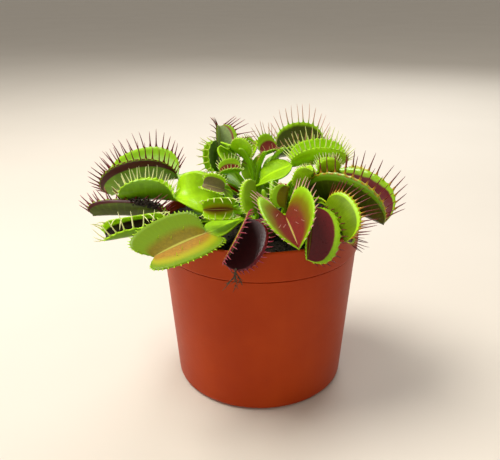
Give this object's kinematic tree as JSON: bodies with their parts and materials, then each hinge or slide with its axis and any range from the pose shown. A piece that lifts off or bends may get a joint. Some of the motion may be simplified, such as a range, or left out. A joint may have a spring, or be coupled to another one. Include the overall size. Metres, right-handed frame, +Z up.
{
  "type": "potted venus flytrap",
  "caption": "Venus flytrap with open toothed traps, winged leaf stalks and unopened young leaves, growing in potting mix in a small round plastic plant pot.",
  "frame": {"origin": "centre of the pot's underside, on the surface it stands on", "axes": "+Z up along the pot's axis, -Y towards the front of the plant, +X to its right as seen from the front"},
  "size_m": [0.1269, 0.0987, 0.1072],
  "materials": {
    "pot_plastic": "moulded terracotta-orange plastic, faint satin sheen",
    "potting_mix": "damp, dark, granular peat mix",
    "crown": "smooth pale green growing point",
    "leaf_bright_green": "bright yellow-green living leaf, waxy sheen",
    "leaf_green": "green living leaf, waxy sheen",
    "leaf_olive": "dark olive living leaf with a bright rim, waxy sheen",
    "leaf_maroon": "living leaf with a glossy dark red inner face and a green rim",
    "young_leaf": "smooth bright green unopened leaf",
    "dry_leaf": "dried yellow-brown leaf",
    "dry_moss": "grey dried moss"
  },
  "bodies": {
    "root": {"pot": "pot_plastic", "potting_mix": "potting_mix", "crown_left": "crown", "crown_back": "crown", "crown_right": "crown", "crown_front": "crown", "leaf_left_large": "leaf_green", "leaf_left_broad": "leaf_bright_green", "leaf_left_closed": "leaf_olive", "leaf_left_low": "leaf_green", "leaf_cup": "leaf_bright_green", "leaf_front_wide": "leaf_bright_green", "leaf_front_eye": "leaf_green", "leaf_front_half": "leaf_green", "leaf_front_dark": "leaf_maroon", "leaf_front_heart": "leaf_bright_green", "leaf_front_disc": "leaf_maroon", "leaf_front_small": "leaf_green", "leaf_right_second": "leaf_maroon", "leaf_right_large": "leaf_olive", "leaf_right_green": "leaf_bright_green", "leaf_right_round": "leaf_bright_green", "leaf_right_inner": "leaf_green", "leaf_right_small": "leaf_bright_green", "leaf_dry": "dry_leaf", "leaf_back_right": "leaf_olive", "leaf_back_middle": "leaf_green", "leaf_back_round": "leaf_bright_green", "leaf_back_olive": "leaf_green", "leaf_back_tall": "leaf_olive", "leaf_back_left": "leaf_olive", "leaf_back_small": "leaf_green", "young_leaf_tall": "young_leaf", "young_leaf_back": "young_leaf", "young_leaf_upright": "young_leaf", "young_leaf_left": "young_leaf", "young_leaf_right": "young_leaf", "young_leaf_front": "young_leaf", "dry_moss_sprig": "dry_moss"}
  },
  "joints": []
}
